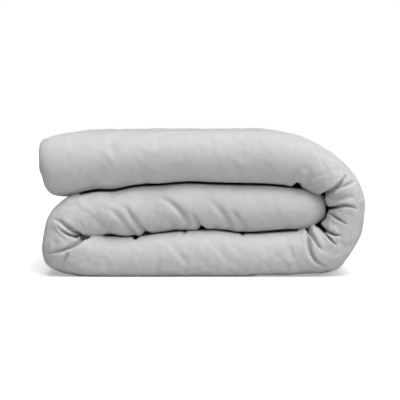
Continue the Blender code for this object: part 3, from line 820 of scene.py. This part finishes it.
def makeWeaveGroup():  # plain weave with uneven yarn, along the first two numbers of Place
    number, vector = "NodeSocketFloat", "NodeSocketVector"
    group, given, result = newGroup(
        "weave",
        [
            ("Place", vector, None), ("Threads", number, 900.0),
            ("Slub", number, 1.0), ("Mottle", number, 18.0),
        ],
        [("Height", number), ("Shade", number), ("Pill", number)],
    )
    split = addNode(group, "ShaderNodeSeparateXYZ", {0: given["Place"]})
    across = addMath(group, "MULTIPLY", split.outputs[0], given["Threads"])
    along = addMath(group, "MULTIPLY", split.outputs[1], given["Threads"])
    warp = addMath(group, "SINE", addMath(group, "MULTIPLY", across, math.pi))
    weft = addMath(group, "SINE", addMath(group, "MULTIPLY", along, math.pi))
    over = addMath(group, "MULTIPLY", warp, weft)
    yarns = []
    for stretch in ((520, 26, 1), (26, 520, 1)):  # long thin streaks, one for each way of the yarn
        place = addNode(group, "ShaderNodeVectorMath", {0: given["Place"], 1: stretch}, operation="MULTIPLY")
        streaks = {"Vector": place.outputs[0], "Scale": 1.0, "Detail": 2.0}
        noise = addNode(group, "ShaderNodeTexNoise", streaks)
        yarns.append(addMath(group, "SUBTRACT", noise.outputs["Fac"], 0.5))
    uneven = addMath(group, "MULTIPLY", addMath(group, "ADD", *yarns), given["Slub"])
    group.links.new(addMath(group, "MULTIPLY_ADD", over, 0.35, uneven), result["Height"])
    patches = {"Vector": given["Place"], "Scale": given["Mottle"], "Detail": 4.0}
    cloud = addNode(group, "ShaderNodeTexNoise", patches)
    washed = addMath(group, "MULTIPLY", addMath(group, "SUBTRACT", cloud.outputs["Fac"], 0.5), 0.9)
    group.links.new(addMath(group, "MULTIPLY_ADD", uneven, 0.55, washed), result["Shade"])
    pills = addNode(group, "ShaderNodeTexVoronoi", {"Vector": given["Place"], "Scale": 170.0})
    near = addNode(group, "ShaderNodeMapRange", {0: pills.outputs["Distance"], 1: 0.10, 2: 0.02})
    group.links.new(near.outputs[0], result["Pill"])
    return group


def makeStitchGroup():  # a row of stitches along the second number of Place, at Line on the first
    number, vector = "NodeSocketFloat", "NodeSocketVector"
    group, given, result = newGroup(
        "stitchRow",
        [("Place", vector, None), ("Line", number, 0.0), ("Pitch", number, 0.0032), ("Wide", number, 0.0007)],
        [("Thread", number), ("Pull", number)],
    )
    split = addNode(group, "ShaderNodeSeparateXYZ", {0: given["Place"]})
    away = addMath(group, "SUBTRACT", addMath(group, "ABSOLUTE", split.outputs[0]), given["Line"])
    away = addMath(group, "DIVIDE", addMath(group, "ABSOLUTE", away), given["Wide"])
    band = addMath(group, "SUBTRACT", 1.0, away)
    step = addMath(group, "FRACT", addMath(group, "DIVIDE", split.outputs[1], given["Pitch"]))
    dash = addMath(group, "LESS_THAN", step, 0.72)
    group.links.new(addMath(group, "MULTIPLY", addMath(group, "MAXIMUM", band, 0.0), dash), result["Thread"])
    wide = addMath(group, "SUBTRACT", 1.0, addMath(group, "DIVIDE", away, 4.0))
    wide = addMath(group, "MAXIMUM", wide, 0.0)
    group.links.new(wide, result["Pull"])
    return group


def makeWearGroup():  # fine brushing and small rubbed spots
    number, vector = "NodeSocketFloat", "NodeSocketVector"
    group, given, result = newGroup(
        "wear",
        [("Place", vector, None), ("Grain", number, 2500.0), ("Spots", number, 260.0)],
        [("Brush", number), ("Rubbed", number)],
    )
    place = addNode(group, "ShaderNodeVectorMath", {0: given["Place"], 1: (1, 0.06, 1)}, operation="MULTIPLY")
    brushed = {"Vector": place.outputs[0], "Scale": given["Grain"], "Detail": 3.0}
    brush = addNode(group, "ShaderNodeTexNoise", brushed)
    group.links.new(brush.outputs["Fac"], result["Brush"])
    spotted = {"Vector": given["Place"], "Scale": given["Spots"], "Detail": 3.0}
    spots = addNode(group, "ShaderNodeTexNoise", spotted)
    rubbed = addNode(group, "ShaderNodeMapRange", {0: spots.outputs["Fac"], 1: 0.54, 2: 0.68})
    group.links.new(rubbed.outputs[0], result["Rubbed"])
    return group


weaveGroup, stitchGroup, wearGroup = makeWeaveGroup(), makeStitchGroup(), makeWearGroup()


def newMaterial(name, roughness, **constants):
    material = bpy.data.materials.new(name)
    material.use_nodes = True
    shader = material.node_tree.nodes["Principled BSDF"]
    shader.inputs["Roughness"].default_value = roughness
    for label, value in constants.items():
        shader.inputs[label].default_value = value
    return material, material.node_tree, shader


def placeGroup(tree, group, links):
    node = addNode(tree, "ShaderNodeGroup", node_tree=group)
    for name, source in links.items():
        if isinstance(source, bpy.types.NodeSocket):
            tree.links.new(source, node.inputs[name])
        else:
            node.inputs[name].default_value = source
    return node.outputs


def shadeBetween(tree, shader, factor, dark, light):
    mix = addNode(tree, "ShaderNodeMix", data_type="RGBA")
    tree.links.new(factor, mix.inputs["Factor"])
    mix.inputs["A"].default_value = (*dark, 1)
    mix.inputs["B"].default_value = (*light, 1)
    tree.links.new(mix.outputs["Result"], shader.inputs["Base Color"])
    return mix


def roughBetween(tree, shader, factor, low, high):
    span = addNode(tree, "ShaderNodeMapRange", {0: factor, 3: low, 4: high})
    tree.links.new(span.outputs[0], shader.inputs["Roughness"])


def bumpFrom(tree, shader, height, strength, distance):
    bump = addNode(tree, "ShaderNodeBump", {"Height": height, "Strength": strength, "Distance": distance})
    tree.links.new(bump.outputs["Normal"], shader.inputs["Normal"])


coverFinish = {
    "dark": (0.520, 0.528, 0.524),
    "light": (0.690, 0.698, 0.692),
    "threads": 1150.0,  # in a metre
    "slub": 0.8,  # how uneven the yarn is
    "mottle": 22.0,  # patches of wash in a metre
    "bump": 0.55,
    "bumpDepth": 0.0009,
    "seamLine": 0.679,  # from the lengthwise fold to the row of stitches, on the flat cloth
}


def makeCoverCloth(plan):
    material, tree, shader = newMaterial("coverCloth", 0.9, **{"Sheen Weight": 0.12, "Sheen Roughness": 0.55})
    shader.inputs["Specular IOR Level"].default_value = 0.2
    place = addNode(tree, "ShaderNodeUVMap", uv_map="UVMap").outputs[0]
    yarn = {"Place": place, "Threads": plan["threads"], "Slub": plan["slub"], "Mottle": plan["mottle"]}
    weave = placeGroup(tree, weaveGroup, yarn)
    stitch = placeGroup(tree, stitchGroup, {"Place": place, "Line": plan["seamLine"]})
    shade = addMath(tree, "ADD", addMath(tree, "MULTIPLY", weave["Shade"], 0.6), 0.5)
    shade = addMath(tree, "MULTIPLY_ADD", stitch["Thread"], 0.25, shade)
    shade = addMath(tree, "MULTIPLY_ADD", weave["Pill"], 0.06, shade)
    shadeBetween(tree, shader, shade, plan["dark"], plan["light"])
    roughBetween(tree, shader, shade, 0.96, 0.84)
    height = addMath(tree, "MULTIPLY_ADD", stitch["Thread"], 0.6, weave["Height"])
    height = addMath(tree, "MULTIPLY_ADD", stitch["Pull"], -1.2, height)
    bumpFrom(tree, shader, height, plan["bump"], plan["bumpDepth"])
    return material


def makeTapeCloth(name, dark, light, threads, uv):
    material, tree, shader = newMaterial(name, 0.8, **{"Sheen Weight": 0.08})
    if uv:
        place = addNode(tree, "ShaderNodeUVMap", uv_map="UVMap").outputs[0]
    else:
        place = addNode(tree, "ShaderNodeTexCoord").outputs["Object"]
        split = addNode(tree, "ShaderNodeSeparateXYZ", {0: place})
        place = addNode(tree, "ShaderNodeCombineXYZ", {0: split.outputs[2], 1: split.outputs[1]}).outputs[0]
    weave = placeGroup(tree, weaveGroup, {"Place": place, "Threads": threads, "Slub": 0.5, "Mottle": 60.0})
    shade = addMath(tree, "MULTIPLY_ADD", weave["Shade"], 0.8, 0.5)
    shadeBetween(tree, shader, shade, dark, light)
    roughBetween(tree, shader, shade, 0.85, 0.7)
    bumpFrom(tree, shader, weave["Height"], 0.5, 0.0004)
    return material


def makeSolidFinish(name, dark, light, rough, metallic, coat):
    material, tree, shader = newMaterial(name, rough[0], **{"Metallic": metallic, "Coat Weight": coat})
    place = addNode(tree, "ShaderNodeTexCoord").outputs["Object"]
    wear = placeGroup(tree, wearGroup, {"Place": place})
    shadeBetween(tree, shader, wear["Rubbed"], dark, light)
    roughBetween(tree, shader, wear["Brush"], *rough)
    bumpFrom(tree, shader, wear["Brush"], 0.15, 0.0002)
    return material


coverCloth = makeCoverCloth(coverFinish)
tapeCloth = makeTapeCloth("zipTape", (0.50, 0.51, 0.505), (0.66, 0.665, 0.66), 1600.0, False)
labelSatin = makeTapeCloth("labelSatin", (0.80, 0.80, 0.78), (0.93, 0.93, 0.91), 2400.0, True)
coilNylon = makeSolidFinish("zipCoil", (0.55, 0.56, 0.555), (0.66, 0.67, 0.665), (0.38, 0.55), 0.0, 0.1)
zipMetal = makeSolidFinish("zipMetal", (0.60, 0.60, 0.61), (0.78, 0.78, 0.79), (0.24, 0.42), 1.0, 0.0)

for piece in coverPieces.values():
    dress(piece, coverCloth)
for name in ("zip_tape_face", "zip_tape_reverse"):
    for place in frame["nodes"][name].material_slots:
        place.material = tapeCloth

print("zip")

closedStop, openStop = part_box("zip_stop_closed"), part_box("zip_stop_open")
zipUpper = (closedStop[0].z + closedStop[1].z) / 2
zipLower = (openStop[0].z + openStop[1].z) / 2
zipBack = closedStop[0].y
seamRadius = (zipUpper - zipLower) / 2
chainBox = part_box("zip_chain")
seamX = leftX
zipTurn = math.pi / 2 * seamRadius
zipFoldY = frontY + 2 * seamRadius  # where the seam starts to run straight back
zipReach = zipTurn + zipBack - zipFoldY


# q runs along the zip from the front and is negative on the upper leaf, and e points at the face side
def zipPoints(out, q, e):
    turn = np.clip(q / seamRadius, -math.pi / 2, math.pi / 2)
    past = np.maximum(np.abs(q) - zipTurn, 0)
    radius = seamRadius + e
    y = zipFoldY - radius * np.cos(turn) + past
    z = (zipUpper + zipLower) / 2 - radius * np.sin(turn)
    return np.stack([seamX - out, y, z], -1)


coil = {"pitch": 0.00165, "thick": 0.0010, "reach": 0.0024, "overlap": 0.0009, "height": 0.0015}


def addCoil(name, side, shift, plan):
    clearSelection()
    bpy.ops.mesh.primitive_cube_add(size=1, location=(0, 0, 0))
    tooth = bpy.context.object
    tooth.name = tooth.data.name = name
    bpy.ops.object.mode_set(mode="EDIT")
    bpy.ops.transform.resize(value=(plan["height"], plan["thick"], plan["reach"] + plan["overlap"]))
    bpy.ops.mesh.bevel(offset=0.0003, segments=1, affect="EDGES")
    bpy.ops.object.mode_set(mode="OBJECT")
    count = int((2 * zipReach - 0.004) / plan["pitch"])
    row = tooth.modifiers.new("row", "ARRAY")
    row.count = count
    row.use_relative_offset = False
    row.use_constant_offset = True
    row.constant_offset_displace = (0, plan["pitch"], 0)
    bpy.ops.object.modifier_apply(modifier=row.name)
    local = getPoints(tooth)
    first = -(count - 1) * plan["pitch"] / 2 + shift
    middle = side * (plan["reach"] - plan["overlap"]) / 2
    out = seamX - chainBox[0].x - plan["height"] / 2
    setPoints(tooth, zipPoints(out + local[:, 0], local[:, 1] + first, local[:, 2] + middle))
    bpy.ops.object.shade_flat()
    return tooth


coilFace = addCoil("zip_coil_face", 1, 0.0, coil)
coilReverse = addCoil("zip_coil_reverse", -1, coil["pitch"] / 2, coil)
for item in (coilFace, coilReverse):
    dress(item, coilNylon)
    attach(item, "top")
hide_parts("zip_chain")

zipMetalwork = {
    # node, body it moves with, radius of its rounded edges
    "zip_slider": ("zip_slider", 0.00028),
    "zip_pull": ("zip_pull", 0.00030),
    "zip_stop_closed": ("top", 0.00035),
    "zip_stop_open": ("top", 0.00035),
}


def addMetal(node, body, radius):  # the same shape with its edges tumbled round
    pick(frame["nodes"][node])
    bpy.ops.object.duplicate()
    item = bpy.context.object
    item.name = item.data.name = node + "_tumbled"
    item.parent = None
    for key in list(item.keys()):  # the copy isn't a node
        if key.startswith("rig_"):
            del item[key]
    bpy.ops.object.mode_set(mode="EDIT")
    bpy.ops.mesh.select_all(action="SELECT")
    bpy.ops.mesh.remove_doubles(threshold=0.000002)
    bpy.ops.mesh.dissolve_limited(angle_limit=math.radians(4))
    bpy.ops.object.mode_set(mode="OBJECT")
    edge = item.modifiers.new("edge", "BEVEL")
    edge.width = radius
    edge.segments = 2
    edge.limit_method = "ANGLE"
    edge.angle_limit = math.radians(35)
    edge.use_clamp_overlap = True
    bpy.ops.object.modifier_apply(modifier=edge.name)
    bpy.ops.object.shade_smooth_by_angle(angle=math.radians(40))
    dress(item, zipMetal)
    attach(item, body)
    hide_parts(node)


for node, (body, radius) in zipMetalwork.items():
    addMetal(node, body, radius)

hem = {
    "from": 0.0044,  # from the middle of the zip
    "to": 0.0130,
    "height": 0.0024,
    "tuck": 0.0065,  # how deep its far edge sinks into the cover
    "endTuck": 0.003,
    "around": 14,  # mesh steps
    "step": 0.004,
    "wave": 0.0003,
}


def addHem(name, side, plan):  # the folded edge of the cover that half hides the zip
    clearSelection()
    steps = int(2 * zipReach / plan["step"])
    bpy.ops.mesh.primitive_grid_add(x_subdivisions=steps, y_subdivisions=plan["around"], size=2)
    item = bpy.context.object
    item.name = item.data.name = name
    flat = getPoints(item)
    q = flat[:, 0] * (zipReach + 0.002)
    turn = flat[:, 1] * math.pi
    end = np.sqrt(smoothStep((1 - np.abs(flat[:, 0])) / 0.05))
    half = (plan["to"] - plan["from"]) / 2
    wave = plan["wave"] * (np.sin(q * 310) + np.sin(q * 137 + 1))
    e = (plan["from"] + plan["to"]) / 2 + half * np.cos(turn) * end + wave
    outward = (1 + np.cos(turn)) / 2  # 0 beside the zip, 1 where the hem lies on the cover
    out = wave * (1 - outward) + plan["height"] * np.sin(turn) * end * (1 - 0.6 * outward)
    out = out - plan["tuck"] * outward**1.5 - plan["endTuck"] * (1 - end)
    setPoints(item, zipPoints(out, q, side * e))
    setUv(item, np.stack([flat[:, 1] * 0.006 + 0.4 * side, q], -1))
    weld(item, 0.00002)
    dress(item, coverCloth)
    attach(item, "top")


addHem("zip_hem_face", 1, hem)
addHem("zip_hem_reverse", -1, hem)

print("care label")

label = {"thick": 0.0005, "curl": 0.005, "steps": (14, 20)}


def addLabel(plan):
    low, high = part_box("care_label")
    clearSelection()
    bpy.ops.mesh.primitive_grid_add(x_subdivisions=plan["steps"][0], y_subdivisions=plan["steps"][1], size=2)
    item = bpy.context.object
    item.name = item.data.name = "care_label_sheet"
    flat = getPoints(item) / 2 + 0.5
    drop = (1 - flat[:, 1]) * (high.z - low.z)
    across = (flat[:, 0] - 0.5) * (high.x - low.x)
    t = 1 - flat[:, 1]
    curl = plan["curl"] * (t**2 * 0.8 + 0.25 * t * np.cos(flat[:, 0] * 5.2) + 0.15 * np.sin(t * 7) * t)
    x = (low.x + high.x) / 2 + across * (1 - 0.02 * t) + 0.001 * t
    z = high.z - drop * 0.985
    setPoints(item, np.stack([x, low.y + 0.0004 + curl, z], -1))
    setUv(item, np.stack([across, drop], -1))
    wall = item.modifiers.new("wall", "SOLIDIFY")
    wall.thickness = plan["thick"]
    wall.offset = 0
    bpy.ops.object.modifier_apply(modifier=wall.name)
    bpy.ops.object.shade_smooth()
    dress(item, labelSatin)
    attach(item, "top")
    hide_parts("care_label")


addLabel(label)

print("studio")

floorPaper = {
    "bounce": 0.57,  # how much light it throws back on the duvet
    "seen": 0.97,
    "glow": 0.36,
}
clearSelection()
bpy.ops.mesh.primitive_plane_add(size=14, location=(0, 2, 0))
floor = bpy.context.object
floor.name = "floor"
paper, paperTree, paperShader = newMaterial("floorPaper", 1.0)
seenDirect = addNode(paperTree, "ShaderNodeLightPath").outputs["Is Camera Ray"]
bounced, straight = [floorPaper["bounce"]] * 3, [floorPaper["seen"]] * 3
shadeBetween(paperTree, paperShader, seenDirect, bounced, straight)
glow = addMath(paperTree, "MULTIPLY", seenDirect, floorPaper["glow"])
paperShader.inputs["Emission Color"].default_value = (1, 1, 1, 1)
paperTree.links.new(glow, paperShader.inputs["Emission Strength"])
floor.data.materials.append(paper)
floor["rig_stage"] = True

studioLight = {
    "sky": 0.06,
    "sun": 2.55,  # strength, spread and turns of the light from above
    "sunSpread": 44,
    "sunTilt": (15, 5, 0),
    "side": 1.35,  # and of the one from the right of the camera
    "sideSpread": 56,
    "sideTilt": (44, 36, 0),
}

world = bpy.data.worlds.new("studioWorld")
bpy.context.scene.world = world
world.use_nodes = True
sky = world.node_tree.nodes["Background"]
sky.inputs["Color"].default_value = (1, 1, 1, 1)
sky.inputs["Strength"].default_value = studioLight["sky"]
backdrop = addNode(world.node_tree, "ShaderNodeBackground", {"Color": (1, 1, 1, 1)})
seen = addNode(world.node_tree, "ShaderNodeLightPath").outputs["Is Camera Ray"]
either = addNode(world.node_tree, "ShaderNodeMixShader", {0: seen, 1: sky.outputs[0], 2: backdrop.outputs[0]})
world.node_tree.links.new(either.outputs[0], world.node_tree.nodes["World Output"].inputs["Surface"])


def addSun(name, strength, spread, tilt):
    clearSelection()
    bpy.ops.object.light_add(type="SUN", location=(0, 0, 3))
    light = bpy.context.object
    light.name = name
    light.data.energy = strength
    light.data.angle = math.radians(spread)
    light.rotation_euler = [math.radians(turn) for turn in tilt]


addSun("overhead", studioLight["sun"], studioLight["sunSpread"], studioLight["sunTilt"])
addSun("sideFill", studioLight["side"], studioLight["sideSpread"], studioLight["sideTilt"])

cameraSetup = {"place": (-0.0015, -3.33, 0.33), "aim": (-0.0015, -0.33, 0.158), "lens": 134.0}
clearSelection()
bpy.ops.object.camera_add(location=cameraSetup["place"])
camera = bpy.context.object
camera.name = "camera"
camera.data.lens = cameraSetup["lens"]
look = Vector(cameraSetup["aim"]) - Vector(cameraSetup["place"])
camera.rotation_euler = look.to_track_quat("-Z", "Y").to_euler()
bpy.context.scene.camera = camera
bpy.context.scene.view_settings.view_transform = "Standard"

low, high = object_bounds()
